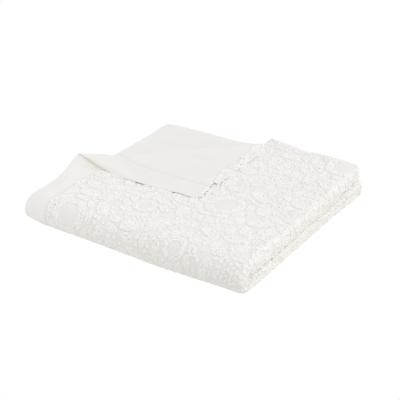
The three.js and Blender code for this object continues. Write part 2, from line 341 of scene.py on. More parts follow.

# %% [markdown]
# Then there are the hollows and swells of a hand-folded pad, each listed with its own size: the
# raised edge at the back, a forked hollow in front of it, and shallow ones elsewhere. The groove between
# the two halves wanders. Noise would be quicker to write, but it can't put a hollow where the real pad
# has one.

# %% Uneven
# Each swell: its middle, its reach both ways, its turn in degrees and its height.
SWELLS = [
    (196, 262, 120, 80, 0, 8.5),
    (84, 256, 30, 34, 0, 2.0),
    (188, 222, 14, 28, 22, -5.0),
    (220, 214, 11, 24, -30, -3.0),
    (137, 83, 46, 22, 30, -2.2),
    (240, 150, 40, 60, -10, 1.8),
    (120, 20, 70, 40, 35, 1.8),
    (60, -90, 60, 45, -25, -1.8),
    (150, -120, 60, 70, 15, 1.6),
    (-90, -130, 70, 40, 10, 2.0),
    (-205, -150, 60, 40, -30, 1.5),
    (238, -40, 30, 80, 0, -1.6),
    (22, 196, 14, 40, -42, -2.0),
    (186, 262, 40, 36, 0, 3.5),
    (-273, -140, 40, 26, 0, 3.5),
]
# Each wave of the right side and of the groove: its rate, its phase and its size.
SIDE_WAVES = [(0.031, 0.4, 0.55), (0.073, 1.9, 0.3), (0.012, 2.7, 0.7)]
GROOVE_WAVES = [(0.047, 1.0, 1.1), (0.019, 0.3, 1.6), (0.11, 2.2, 0.5)]
GROOVE_RISE, RISE_START, RISE_REACH, GROOVE_BAND = 11, 110, 120, 16
SWELL_FLOOR, SIDE_START, SIDE_BLEND = 0.3, 150, 100


def waves(table, y):
    return sum(size * np.sin(rate * y + phase) for rate, phase, size in table)


def uneven(x, y, z):
    rise = np.zeros_like(z)
    for centre_x, centre_y, reach_x, reach_y, angle, height in SWELLS:
        cos, sin = math.cos(math.radians(angle)), math.sin(math.radians(angle))
        across = ((x - centre_x) * cos + (y - centre_y) * sin) / reach_x
        along = ((y - centre_y) * cos - (x - centre_x) * sin) / reach_y
        rise = rise + height * bell(across) * bell(along)
    upper = smooth((z - SWELL_FLOOR * HEIGHT) / ((1 - SWELL_FLOOR) * HEIGHT))
    on_right = smooth((x - SIDE_START) / SIDE_BLEND)
    bulge = on_right * np.sin(2 * np.pi * clamp(z / HEIGHT))
    wander = waves(GROOVE_WAVES, y) + GROOVE_RISE * smooth((y - RISE_START) / RISE_REACH)
    in_groove = on_right * bell((z - MIDDLE) / GROOVE_BAND)
    return x + waves(SIDE_WAVES, y) * bulge, y, z + rise * upper + wander * in_groove


print("hollows and swells", len(SWELLS))

# %% [markdown]
# `place` puts everything together: it takes any point of the flat cloth, rounds the cloth's own corners a
# little, folds or turns it, lets it settle, and gives its place in metres in the part's frame. Cloths,
# tufts and stitches all go through it, so nothing can slip on the cloth that it is sewn to.

# %% Place of any point of the flat cloth
METRE = 1000
CORNER_ROUND = 11
SPECK, FLOOR_CLEARANCE = 1e-6, 0.2
SHIFT_X = WIDTH / 2 + OVERHANG - FACE_HIGH[0] * METRE
SHIFT_Y = BACK + LAYER + FACE_OUT - FACE_HIGH[1] * METRE


def rounded(u, v):
    from_seam = np.minimum(v, COVER_WIDTH - v)
    past_u, past_v = np.maximum(0, CORNER_ROUND - u), np.maximum(0, CORNER_ROUND - from_seam)
    keep = np.maximum(past_u, past_v) / np.maximum(np.hypot(past_u, past_v), SPECK)
    keep = np.where((past_u > 0) & (past_v > 0), keep, 1.0)
    inward = past_v * (1 - keep)
    return u + past_u * (1 - keep), v + np.where(v < COVER_WIDTH / 2, inward, -inward)


def place(flat_u, flat_v, out):
    u, v = rounded(flat_u, flat_v)
    corner = (u + v < TURN)
    on_top = (u < START["lobe"]) & (v < FRONT_START)
    rise = np.where(on_top, lift(u, v), 0.0)
    x, y, z = (np.where(corner, over, flat) for over, flat in zip(turned(u, v, out), folded(u, v, out)))
    x, y, z = uneven(*settled(x, y, z + np.where(corner, 0.0, rise)))
    return np.stack([x - SHIFT_X, y - SHIFT_Y, np.maximum(z, FLOOR_CLEARANCE)], axis=-1) / METRE


print("pad moved by", round(SHIFT_X, 2), round(SHIFT_Y, 2), "mm to stand over the origin")

# %% [markdown]
# Both cloths are drawn on the same flat lines. Lines lie close together where the cloth bends, as at the
# crease, the front fold and the hem, and far apart where it lies flat inside the pad: an even grid that
# fine would be far too heavy. In the turned corner the lines slant, so that one family of them runs along
# the crease: that is why the corner's points are replaced.

# %% Lines of the flat cloth
NARROW_HEM = 13
EDGE_LINES = [0, 0.8, 2, 4, 8, 11]
NARROW_HEM_LINES = NARROW_HEM + np.array([-0.7, 0.2, 1.1, 2.5])
HEM_LINES = HEM + np.array([-8, -4.5, -2.5, -1.3, -0.5, 0.3, 1.2, 2.5, 5])
PAST_NARROW_HEM, PAST_HEM, NEAR_CREASE, PAST_CREASE = 20, 70, 300, TURN + 28
NEAR_LOBE, NEAR_TURN, NEAR_HAIRPIN, SEAM_STRETCH = 60, 40, 20, 350
LENGTH_END = COVER_LENGTH - np.array([2, 0.8, 0])
WIDTH_END = COVER_WIDTH - np.array([14, 11, 8, 5, 2, 0.8, 0])


def stretches(starts, last):
    ends = [first for first, gap in starts[1:]] + [last]
    counts = [max(2, round((end - first) / gap) + 1) for (first, gap), end in zip(starts, ends)]
    return [np.linspace(first, end, count)[:-1] for (first, gap), end, count in zip(starts, ends, counts)]


# Each stretch: where it starts, and the gap between its lines.
CORNER_LINES = np.concatenate([
    EDGE_LINES, NARROW_HEM_LINES, *stretches([(PAST_NARROW_HEM, 6)], HEM_LINES[0]), HEM_LINES,
    *stretches([(PAST_HEM, 7.4), (NEAR_CREASE, 2.6)], TURN), [TURN],
])
U_LINES = np.concatenate([CORNER_LINES[:-1], *stretches([
    (TURN, 8), (START["lobe"], 3.2), (START["bottom"], 8), (START["bottom"] + NEAR_LOBE, 50),
    (START["left"] - NEAR_TURN, 8), (START["left"], 2), (START["third"], 8),
    (START["third"] + NEAR_TURN, 50), (START["inner"], 3), (START["second"], 50),
    (COVER_LENGTH - NEAR_TURN, 8),
], LENGTH_END[0]), LENGTH_END])
V_LINES = np.concatenate([(TURN - CORNER_LINES)[::-1][:-1], *stretches([
    (TURN, 3.5), (PAST_CREASE, 7), (FRONT_START, 4.2), (FRONT_END, 22), (HAIRPIN_START - NEAR_HAIRPIN, 6),
    (HAIRPIN_START, 1.1), (HAIRPIN_END, 6), (HAIRPIN_END + NEAR_HAIRPIN, 60), (INNER_START, 8),
    (INNER_END, 30), (COVER_WIDTH - SEAM_STRETCH, 9),
], WIDTH_END[0]), WIDTH_END])
FLAT_U, FLAT_V = np.meshgrid(U_LINES, V_LINES, indexing="ij")
corner_count = len(CORNER_LINES)
for i in range(corner_count):
    for j in range(corner_count - i):
        FLAT_V[i, j] = CORNER_LINES[i + j] - CORNER_LINES[i]
print("flat lines", len(U_LINES), "by", len(V_LINES))

# %% [markdown]
# A cloth is a closed skin: the grid once for its outer side, once for its inner side, and a narrow rim
# round the edge. A modifier could thicken a single sheet, but here the thickness changes from place to
# place. The flat place of every point is kept as its UV, in metres, so that weave and hem follow the
# cloth through every fold. `link` turns any list of points and triangles into a piece.

# %% Cloth mesh
def link(name, points, triangles, uv=None):
    mesh = bpy.data.meshes.new(name)
    mesh.vertices.add(len(points))
    mesh.vertices.foreach_set("co", np.ascontiguousarray(points, dtype=np.float32).ravel())
    mesh.loops.add(triangles.size)
    mesh.loops.foreach_set("vertex_index", np.ascontiguousarray(triangles, dtype=np.int32).ravel())
    mesh.polygons.add(len(triangles))
    mesh.polygons.foreach_set("loop_start", np.arange(0, triangles.size, 3, dtype=np.int32))
    mesh.polygons.foreach_set("use_smooth", np.ones(len(triangles), dtype=bool))
    if uv is not None:
        layer = mesh.uv_layers.new(name="flat_cloth")
        layer.data.foreach_set("uv", np.ascontiguousarray(uv[triangles.ravel()], dtype=np.float32).ravel())
    mesh.update()
    mesh.validate()
    piece = bpy.data.objects.new(name, mesh)
    bpy.context.scene.collection.objects.link(piece)
    return piece


def cloth(name, first_out, second_out):
    number = np.arange(FLAT_U.size).reshape(FLAT_U.shape)
    a, b = number[:-1, :-1].ravel(), number[1:, :-1].ravel()
    c, d = number[1:, 1:].ravel(), number[:-1, 1:].ravel()
    top = np.concatenate([np.stack([a, d, b], 1), np.stack([b, d, c], 1)])
    rim = np.concatenate([number[:-1, 0], number[-1, :-1], number[:0:-1, -1], number[0, :0:-1]])
    after = np.roll(rim, -1)
    count = number.size
    low = top[:, ::-1] + count
    rim_walls = [np.stack([rim, after, after + count], 1), np.stack([rim, after + count, rim + count], 1)]
    points = np.concatenate([place(FLAT_U, FLAT_V, out).reshape(-1, 3) for out in (first_out, second_out)])
    flat = np.stack([FLAT_U.ravel(), FLAT_V.ravel()], 1) / METRE
    return link(name, points, np.concatenate([top, low] + rim_walls), np.concatenate([flat, flat]))


print("points on each side of a cloth", FLAT_U.size)

# %% [markdown]
# The face cloth is a thin cotton ground, thicker in the hem, where it is turned in and sewn down along a
# shallow groove. The half of the open end that lies deeper has a narrow hem. The pile comes later, as
# tufts of its own. Near the seams and the hem the two sides of the cloth close to a rounded edge, and the
# two cloths meet.

# %% Face cloth
GROUND, HEM_EXTRA, EDGE_ROUND = 0.55, 0.5, 2.0
HEM_EDGE, EDGE_THIN, EDGE_GAP = 3, 0.35, 0.1
GROOVE_DEPTH, GROOVE_REACH = 0.6, 1.5
FACE_INNER = CLOTH_GAP / 2
hem_width = np.where(FLAT_V < HAIRPIN_END, HEM, NARROW_HEM)
hem_band = soft_step(hem_width - FLAT_U, HEM_EDGE)
hem_groove = GROOVE_DEPTH * bell((FLAT_U - hem_width) / GROOVE_REACH)
from_ends = np.minimum(FLAT_U, COVER_LENGTH - FLAT_U)
from_edges = np.minimum(from_ends, np.minimum(FLAT_V, COVER_WIDTH - FLAT_V))
edge_share = EDGE_THIN + (1 - EDGE_THIN) * np.sqrt(clamp(from_edges / EDGE_ROUND))
gap_share = EDGE_GAP + (1 - EDGE_GAP) * clamp(from_edges / EDGE_ROUND)
ground_thick = (GROUND + HEM_EXTRA * hem_band - hem_groove) * edge_share
face_cloth = cloth("face_cloth", FACE_INNER * gap_share + ground_thick, FACE_INNER * gap_share)
print("face cloth", len(face_cloth.data.polygons), "triangles")

# %% [markdown]
# Light comes through thin cotton and is warmer for it. It shows where the turned corner's hem stands off
# the layer below, and most in the mouth of the fold, close to the front peak. A cloth that lets light
# through would show it by itself, but at the cost of long renders, so each point of the face carries its
# share of the warm tone. The hem's line over the layer below is worked out in the same way as the corner
# was turned.

# %% Warm light under the hem
WARM_DEPTH, WARM_FADE = 22, 6
MOUTH_FIRST, MOUTH_DEEPEST, MOUTH_LAST, MOUTH_DEPTH, MOUTH_TONE = 4, 44, 76, 19, 0.3
hem_share = clamp(FLAT_U / TURN)
hem_line = TURN - TIP_SHIFT_Y * hem_share + SLIDE * np.sin(np.pi * hem_share)
behind_hem = hem_line - FLAT_V
layer_below = soft_step(behind_hem, WARM_FADE) * smooth((WARM_DEPTH - behind_hem) / WARM_FADE)
underside = (FLAT_U < WARM_DEPTH) & (FLAT_V < TURN - WARM_DEPTH)
mouth = np.interp(FLAT_U, [MOUTH_FIRST, MOUTH_DEEPEST, MOUTH_LAST], [0, MOUTH_DEPTH, 0])
in_mouth = MOUTH_TONE * soft_step(TURN + mouth - FLAT_V, WARM_FADE) * (FLAT_V > TURN) * (mouth > 0)
warmth = np.maximum(layer_below * (FLAT_U < TURN - WARM_FADE), np.maximum(underside, in_mouth))
warm_share = face_cloth.data.attributes.new("warmth", "FLOAT", "POINT")
warm_share.data.foreach_set("value", np.tile(warmth.ravel(), 2).astype(np.float32))
print("warm points of the face", int((warmth > 0).sum()))

# %% [markdown]
# The back cloth is a plain woven sheet with the same hems. It could be a copy of the face that is pushed
# inwards, but then the folds would squeeze it, so it is folded by itself. It lies on the other side of
# the small gap, so its outer side is the one further from the face.

# %% Back cloth
BACK_THICK = 0.5
BACK_INNER = -CLOTH_GAP / 2
back_thick = (BACK_THICK + HEM_EXTRA * hem_band - hem_groove) * edge_share
back_cloth = cloth("back_cloth", BACK_INNER * gap_share, BACK_INNER * gap_share - back_thick)
print("back cloth", len(back_cloth.data.polygons), "triangles")

# %% [markdown]
# Tufting is sewn in rows along the lines of a drawn design, on the flat cloth, before the cover is
# folded. A row is a line of tufts at even steps. Rings, bands of rings and leaf shapes are made of such
# rows. A picture of the design could push the surface up instead, but single tufts give the ragged edge
# of real pile.

# %% Rows of tufts
TUFT_GAP, ROW_GAP = 3.6, 5.2
OUTLINE_STEPS = 60


def row_along(outline):
    reach = np.concatenate([[0], np.cumsum(np.hypot(*np.diff(outline, axis=0).T))])
    count = max(1, round(reach[-1] / TUFT_GAP))
    stops = np.arange(count) * reach[-1] / count
    return np.stack([np.interp(stops, reach, outline[:, 0]), np.interp(stops, reach, outline[:, 1])], 1)


def oval(along, across):
    angles = np.linspace(0, 2 * math.pi, OUTLINE_STEPS)
    return row_along(np.stack([along * np.cos(angles), across * np.sin(angles)], 1))


def ring(radius):
    return oval(radius, radius)


def band(inner, outer):
    return np.concatenate([ring(radius) for radius in np.arange(inner, outer, ROW_GAP)])


def leaf(length, rows):
    middle = length / 2 - rows * ROW_GAP
    outlines = [oval(middle + row * ROW_GAP, row * ROW_GAP) for row in range(1, rows + 1)]
    return np.concatenate([row_along(np.array([[-middle, 0], [middle, 0]]))] + outlines)


def moved(places, along, across, angle):
    cos, sin = math.cos(angle), math.sin(angle)
    return places @ np.array([[cos, sin], [-sin, cos]]) + np.array([along, across])


def round_of(places, count, radius, lean=0):
    angles = [2 * math.pi * i / count for i in range(count)]
    return np.concatenate([
        moved(places, radius * math.cos(a), radius * math.sin(a), a + lean) for a in angles
    ])


KNOT = ring(radius=2)
PETAL, SHORT_PETAL = leaf(length=46, rows=2), leaf(length=26, rows=1)
print("tufts in a knot", len(KNOT), "in a petal", len(PETAL), "in a short petal", len(SHORT_PETAL))

# %% [markdown]
# The design is an ordinary one of medallions, wreaths, dotted rosettes and petals. Each motif is a small
# list of tuft places, made once and stamped wherever the design repeats, as an embroiderer uses a
# stencil.

# %% Motifs
ACROSS = math.pi / 2
ROSETTE_GAP, ROSETTE_ROUNDS, ROSETTE_KNOTS = 10.5, (1, 2, 3), 6
MEDALLIONS = [
    np.concatenate([band(inner=29, outer=40), round_of(SHORT_PETAL, count=9, radius=54, lean=ACROSS)]),
    np.concatenate([
        KNOT, ring(radius=8), round_of(leaf(length=20, rows=1), count=6, radius=22, lean=ACROSS),
        round_of(leaf(length=36, rows=2), count=7, radius=48, lean=0.5),
    ]),
    np.concatenate([
        band(inner=17, outer=23), round_of(SHORT_PETAL, count=10, radius=41, lean=0.9),
        round_of(KNOT, count=18, radius=59),
    ]),
]
WREATHS = [
    np.concatenate([KNOT, round_of(leaf(length=17, rows=1), count=6, radius=19, lean=ACROSS + 0.4)]),
    np.concatenate([KNOT, round_of(leaf(length=20, rows=1), count=6, radius=20)]),
]
ROSETTES = [np.concatenate([KNOT] + [
    round_of(KNOT, count=ROSETTE_KNOTS * row, radius=ROSETTE_GAP * row) for row in ROSETTE_ROUNDS
])]
print("tufts in the medallions", [len(places) for places in MEDALLIONS])

# %% [markdown]
# A fine map of the cloth marks what is taken, one cell to a square millimetre, so that a thin channel of
# bare ground stays between neighbours. `stamp` sews a motif only where there is room, and no tuft stands
# quite on its line. Only the parts of the cloth that show outside the pad are sewn: the outer sheet, the
# folds at the left end and the hairpins at the back. That saves thousands of tufts that nobody sees.

# %% Room on the flat cloth
SEED = 11
rng = np.random.default_rng(SEED)
STRAY, PILE_MARK = 0.8, 2
PAST_HAIRPIN, MAP_BORDER = 24, 40
MARGIN_HEM, MARGIN_SEAM, FOLD_MARGIN, LOBE_END = 65, 5, 14, START["bottom"] - 10
# Each ripple of the pile's edge at the hem: its size and its length.
HEM_RIPPLES = [(5, 17), (3, 7.3)]
MAP_U, MAP_V = int(COVER_LENGTH), int(HAIRPIN_END + PAST_HAIRPIN)
taken = np.zeros((MAP_U + MAP_BORDER, MAP_V + MAP_BORDER), dtype=bool)
stamped = []


def outside(u, v):
    rippled = MARGIN_HEM + sum(size * np.sin(v / length) for size, length in HEM_RIPPLES)
    sheet = (u > rippled) & (u < LOBE_END)
    left_fold = (u > START["left"] - FOLD_MARGIN) & (u < START["third"] + FOLD_MARGIN)
    hairpin = (v > HAIRPIN_START - FOLD_MARGIN) & (u > MARGIN_HEM) & (u < COVER_LENGTH - MARGIN_SEAM)
    return (sheet | left_fold | hairpin) & (v > MARGIN_SEAM) & (v < HAIRPIN_END + FOLD_MARGIN)


def window(spot, reach):
    return tuple(slice(max(0, cell - reach), cell + reach + 1) for cell in spot)


def stamp(places, room):
    places = places + rng.normal(0, STRAY, places.shape)
    places = places[outside(places[:, 0], places[:, 1])]
    spots = [(int(u), int(v)) for u, v in places]
    if any(taken[window(spot, room)].any() for spot in spots):
        return
    for spot in spots:
        taken[window(spot, PILE_MARK)] = True
    if spots:
        stamped.append(places)


print("map of the cloth", taken.shape, "cells")

# %% [markdown]
# The motifs repeat in a half-drop: every second column starts half a step lower, the kinds take turns,
# and each one is turned and stretched a little by chance. Whatever room is left is filled with bent
# petals in rounds about the nearest medallion, then with short ones, and then with knots. Strewn by
# chance they would leave large holes, and rounds leave few.

# %% Design on the flat cloth
STEP_U, STEP_V = 133, 190
FIRST_U, FIRST_V = 119, -67
MOTIF_STRAY, MOTIF_STRETCH, MOTIF_TURN, MOTIF_ROOM, ROW_SHIFT = 1.5, (0.9, 1.06), 6, 2, 2
LAST_ROUND, ROUND_SLACK, FILL_ROOM = 130, 1, 4
# Each filling: its shape, its first round, the gap between rounds and the step along a round.
FILLINGS = [(PETAL, 68, 6.5, 5), (SHORT_PETAL, 62, 5, 5), (KNOT, 58, 4, 7)]


def half_drop(kinds, start_u, start_v):
    middles = []
    for column in range(-1, MAP_U // STEP_U + 2):
        for row in range(-1, MAP_V // STEP_V + 2):
            u = start_u + column * STEP_U + rng.normal(0, MOTIF_STRAY)
            v = start_v + (row + 0.5 * (column % 2)) * STEP_V + rng.normal(0, MOTIF_STRAY)
            drawn = kinds[(column + ROW_SHIFT * row) % len(kinds)] * rng.uniform(*MOTIF_STRETCH, 2)
            stamp(moved(drawn, u, v, rng.uniform(0, MOTIF_TURN)), MOTIF_ROOM)
            middles.append((u, v))
    return np.array(middles)


def bent(places, radius):
    angles = places[:, 0] / radius
    return np.stack([(radius + places[:, 1]) * np.cos(angles), (radius + places[:, 1]) * np.sin(angles)], 1)


def fill(shape, rounds, step):
    for middle in medallions:
        for radius in rounds:
            for angle in np.arange(rng.uniform(), 2 * math.pi, step / radius):
                u, v = middle + radius * np.array([math.cos(angle), math.sin(angle)])
                nearest = np.hypot(medallions[:, 0] - u, medallions[:, 1] - v).min()
                if outside(u, v) and not taken[int(u), int(v)] and nearest > radius - ROUND_SLACK:
                    stamp(moved(bent(shape, radius), *middle, angle), FILL_ROOM)


medallions = half_drop(MEDALLIONS, FIRST_U, FIRST_V)
half_drop(WREATHS, FIRST_U + STEP_U / 2, FIRST_V + STEP_V / 4)
half_drop(WREATHS, FIRST_U + STEP_U / 2, FIRST_V + 3 * STEP_V / 4)
half_drop(ROSETTES, FIRST_U, FIRST_V + STEP_V / 2)
for shape, first_round, round_gap, step in FILLINGS:
    fill(shape, np.arange(first_round, LAST_ROUND, round_gap), step)
TUFT_PLACES = np.concatenate(stamped)
print("tufts on the flat cloth", len(TUFT_PLACES), "in", len(stamped), "motifs")

# %% [markdown]
# One tuft is a ragged little dome of cut yarn: a foot, a fuller waist, a crown and a tip that leans its
# own way. It is made in flat coordinates too, so that `place` folds it together with the cloth that it is
# sewn to. Tufts stand so close that they merge into soft pads. Hair strands would look like fur, and
# thousands of objects would slow everything, so many small domes are joined in one mesh. Near the floor
# they are pressed flat.

# %% One mesh of many tufts
TUFT_RADIUS, TUFT_HEIGHT = 2.8, 1.9
TUFT_WIDTHS, TUFT_HEIGHTS, TUFT_LEAN = (0.8, 1.2), (0.7, 1.25), 0.8
RAGGED, JAGGED = (0.9, 1.1), (0.92, 1.08)
PRESSED_LEAST, PRESSED_HEIGHT, PRESSED_REACH = 0.45, 2, 34
# A tuft's form: the points round it, and its rings as shares of its height and of its radius.
FULL_TUFT = (6, [(0.0, 1.2), (0.5, 1.05), (0.9, 0.62)])
PRESSED_TUFT = (6, [(0.0, 1.1)])
# A side of the cover: which way its tufts point, and the level of their roots.
ROOT_DEPTH = 0.1
FACE_SIDE = (1, FACE_INNER + GROUND - ROOT_DEPTH)
BACK_SIDE = (-1, BACK_INNER - BACK_THICK + ROOT_DEPTH)


def pressed(places):
    height = place(places[:, 0], places[:, 1], np.full(len(places), FACE_INNER + GROUND))[:, 2] * METRE
    return PRESSED_LEAST + (1 - PRESSED_LEAST) * smooth((height - PRESSED_HEIGHT) / PRESSED_REACH)


def tube(rings, points):
    k = np.arange(points)
    after = (k + 1) % points
    walls = []
    for low in range(0, (rings - 1) * points, points):
        high = low + points
        walls.append(np.stack([low + k, low + after, high + after], 1))
        walls.append(np.stack([low + k, high + after, high + k], 1))
    return walls


def repeated(one, count, points):
    return (one[None] + (np.arange(count) * points)[:, None, None]).reshape(-1, 3)


def tuft_mesh(name, places, height, form, side):
    count = len(places)
    points, levels = form
    facing, root = side
    angles = rng.uniform(0, 2 * np.pi, (count, 1)) + np.arange(points) * 2 * np.pi / points
    radius = TUFT_RADIUS * rng.uniform(*TUFT_WIDTHS, (count, 1))
    tall = np.reshape(height, (-1, 1)) * rng.uniform(*TUFT_HEIGHTS, (count, 1))
    lean = rng.normal(0, TUFT_LEAN, (count, 2))
    u, v, out = [], [], []
    for level, share in levels:
        ragged = rng.uniform(*RAGGED, (count, points)) * radius * share
        u.append(places[:, :1] + ragged * np.cos(angles) + lean[:, :1] * level)
        v.append(places[:, 1:] + ragged * np.sin(angles) + lean[:, 1:] * level)
        out.append(level * tall * rng.uniform(*JAGGED, (count, points)))
    u.append(places[:, :1] + lean[:, :1])
    v.append(places[:, 1:] + lean[:, 1:])
    out.append(tall)
    u, v, out = (np.concatenate(part, axis=1) for part in (u, v, out))
    spots = place(u, v, root + facing * out).reshape(-1, 3)
    tip = points * len(levels)
    crown = tip - points + np.arange(points)
    roof = np.stack([crown, np.roll(crown, -1), np.full(points, tip)], 1)
    one = np.concatenate(tube(len(levels), points) + [roof])[:, ::-facing]
    piece = link(name, spots, repeated(one, count, tip + 1))
    rise = np.concatenate([np.full(points, level) for level, share in levels] + [[1.0]])
    heights = piece.data.attributes.new("rise", "FLOAT", "POINT")
    heights.data.foreach_set("value", np.tile(rise, count).astype(np.float32))
    print(name, count, "tufts", len(piece.data.polygons), "triangles")
    return piece


print("a tuft is about", 2 * TUFT_RADIUS, "mm wide and", TUFT_HEIGHT, "mm tall")

# %% [markdown]
# The places are sorted by the side of the pad that they end up on, which keeps every mesh light enough to
# handle. Tufts that the turned corner hides are left out. So are those on its own underside, apart from
# strips along the crease and the seam. The underside of the pad gets flat, light tufts, because it only
# shows when the pad is turned over.

# %% Tufts on each side of the pad
HIDDEN_MARGIN, CREASE_STRIP, SEAM_STRIP, TOP_SPLIT = 30, 34, 26, 250
tuft_u, tuft_v = TUFT_PLACES[:, 0], TUFT_PLACES[:, 1]
beyond_crease = (TURN - tuft_u - tuft_v) / ROOT_TWO
in_square = (tuft_u < TURN - HIDDEN_MARGIN) & (tuft_v < TURN - HIDDEN_MARGIN)
under_corner = (beyond_crease < 0) & in_square & (tuft_u + tuft_v < 2 * TURN - HIDDEN_MARGIN)
inside_corner = (beyond_crease > CREASE_STRIP) & (tuft_v > SEAM_STRIP)
outer_sheet = tuft_u < START["lobe"]
on_top = outer_sheet & (tuft_v < FRONT_START) & ~under_corner & ~inside_corner
on_front = outer_sheet & (tuft_v >= FRONT_START) & (tuft_v < FRONT_END)
on_underside = outer_sheet & (tuft_v >= FRONT_END) & (tuft_v < HAIRPIN_START - FOLD_MARGIN)
on_right = (tuft_u >= START["lobe"]) & (tuft_u < LOBE_END) & (tuft_v < HAIRPIN_START)
on_folds = ~(on_top | on_front | on_underside | on_right | under_corner | inside_corner)
GROUPS = [
    ("top_left_tufts", on_top & (tuft_u < TOP_SPLIT), FULL_TUFT),
    ("top_right_tufts", on_top & (tuft_u >= TOP_SPLIT), FULL_TUFT),
    ("front_tufts", on_front, FULL_TUFT),
    ("right_tufts", on_right, FULL_TUFT),
    ("fold_tufts", on_folds, FULL_TUFT),
    ("under_tufts", on_underside, PRESSED_TUFT),
]
tuft_pieces = []
for name, chosen, form in GROUPS:
    places = TUFT_PLACES[chosen]
    tuft_pieces.append(tuft_mesh(name, places, TUFT_HEIGHT * pressed(places), form, FACE_SIDE))

# %% [markdown]
# Along the side seam the face rolls over the edge, so a border of pile shows on the plain side of the
# turned corner too, and hangs over its edge onto the pile below. It is narrow at the tip and wider
# towards the crease. A tuft beyond the seam hangs down, so it takes a place below the cloth's own level.
# Rolling the cloth itself would need far more lines, and the pile hides it anyway.

# %% Rolled seam of the turned corner
ROLL_NARROW, ROLL_WIDE, ROLL_CURVE = 3, 22, 1.4
ROLL_RIPPLE, RIPPLE_LENGTH = 2.2, 19
ROLL_FIRST_ROW, ROLL_ROW_GAP = 1.8, 3.4
ROLL_END, ROLL_CLEAR, ROLL_FULL = 4, 2, 0.88
STRAY_ALONG, STRAY_ACROSS, ROLL_HEIGHTS = 0.9, 0.7, (0.7, 1.35)
# Each hanging row: its place across the seam, and how far it hangs.
HANGING_ROWS = [(-7.4, 2.9), (-4.4, 2.2), (-1.4, 1.0)]
SEAM_GAP, GAP_DEPTH = (54, 86), 5
lying_rows = [(row, 0.0) for row in np.arange(ROLL_FIRST_ROW, ROLL_WIDE, ROLL_ROW_GAP)]
roll_places, roll_drops = [], []
for across, drop in HANGING_ROWS + lying_rows:
    for along in np.arange(CORNER_ROUND, TURN - ROLL_END, TUFT_GAP):
        wide = ROLL_NARROW + (ROLL_WIDE - ROLL_NARROW) * (along / TURN) ** ROLL_CURVE
        edge = wide + ROLL_RIPPLE * math.sin(along / RIPPLE_LENGTH)
        parted = across < GAP_DEPTH and SEAM_GAP[0] < along < SEAM_GAP[1]
        on_roll = across < edge and along + across < TURN - ROLL_CLEAR
        if on_roll and rng.uniform() < ROLL_FULL and not parted:
            roll_places.append((along + rng.normal(0, STRAY_ALONG), across + rng.normal(0, STRAY_ACROSS)))
            roll_drops.append(drop)
roll_places, roll_drops = np.array(roll_places), np.array(roll_drops)
roll_side = (BACK_SIDE[0], BACK_SIDE[1] + roll_drops[:, None])
roll_heights = TUFT_HEIGHT * rng.uniform(*ROLL_HEIGHTS, len(roll_places))
tuft_pieces.append(tuft_mesh("rolled_seam_tufts", roll_places, roll_heights, FULL_TUFT, roll_side))

# %% [markdown]
# Where the two halves of the pad meet on the right, the pile of both closes the groove, and only a few
# dark gaps are left. Rows of fuller tufts run along the turn of each half. The tallest stand where the
# two halves come close. Dark paint could stand for the gaps, but a real opening looks right from every
# side. Towards a gap the tufts get shorter, so that it ends in a point.

# %% Tufts in the groove
# Each row: its place across the turn, and its height.
GROOVE_ROWS = [(-8.4, 1.4), (-5.0, 2.5), (-1.6, 1.5), (2.2, 1.2)]
OUTER_ROW = -6
# Each gap: its place along the groove, and half of its length.
GROOVE_GAPS = [(-188, 7), (-85, 4), (51, 4), (112, 6), (177, 4), (251, 11)]
GAP_MIDDLE, GAP_FLOOR = 0.25, 0.45
GROOVE_FIRST, GROOVE_LAST = 4, HAIRPIN_START - 3
GROOVE_STRAY, GROOVE_HEIGHTS = 0.6, (0.85, 1.2)
groove_places, groove_heights = [], []
for row, tall in GROOVE_ROWS:
    for along in np.arange(GROOVE_FIRST, GROOVE_LAST, TUFT_GAP):
        depth = np.interp(along, WIDTH_MARKS, DEPTHS)
        to_gap = min(abs(depth - middle) / reach for middle, reach in GROOVE_GAPS)
        closing = 1.0 if row < OUTER_ROW else to_gap
        if closing > GAP_MIDDLE:
            u = START["bottom"] + row + rng.normal(0, GROOVE_STRAY)
            groove_places.append((u, along + rng.normal(0, GROOVE_STRAY)))
            fuller = GAP_FLOOR + (1 - GAP_FLOOR) * clamp(closing)
            groove_heights.append(tall * TUFT_HEIGHT * fuller * rng.uniform(*GROOVE_HEIGHTS))
groove_places = np.array(groove_places)
groove_heights = np.array(groove_heights) * pressed(groove_places)
tuft_pieces.append(tuft_mesh("groove_tufts", groove_places, groove_heights, FULL_TUFT, FACE_SIDE))

# %% [markdown]
# The hem is sewn down with a straight machine stitch, sunk in its groove. Each stitch is a short,
# slightly arched piece of thread: four rings of six points. A dashed line of colour would do from far
# away, but real thread catches the light. On the back it shows on the turned corner, and on the face
# along the left side of the pad.

# %% Hem stitches
STITCH_STEP, STITCH_LENGTH, THREAD, THREAD_OUT = 3.7, 3.0, 0.26, 0.1
FIRST_STITCH, PAST_CORNER = 6, 24
# Each ring of a stitch: its share of the length, its share of the thread's radius, and its height.
STITCH_RINGS = [(0.0, 0.35, -0.25), (0.2, 1.0, 0.05), (0.8, 1.0, 0.05), (1.0, 0.35, -0.25)]
AROUND = 6


def stitches(name, first_v, last_v, side, surface):
    starts = np.arange(first_v, last_v, STITCH_STEP)[:, None]
    angles = np.arange(AROUND)[None] * 2 * np.pi / AROUND
    u, v, out = [], [], []
    for share, width, arch in STITCH_RINGS:
        u.append(HEM + THREAD * width * np.cos(angles) + 0 * starts)
        v.append(starts + STITCH_LENGTH * share + 0 * angles)
        out.append(surface + side * (THREAD * width * np.sin(angles) + arch) + 0 * starts)
    points = place(*(np.concatenate(part, axis=1) for part in (u, v, out))).reshape(-1, 3)
    one = np.concatenate(tube(len(STITCH_RINGS), AROUND))[:, ::side]
    piece = link(name, points, repeated(one, len(starts), AROUND * len(STITCH_RINGS)))
    print(name, len(starts), "stitches")
    return piece


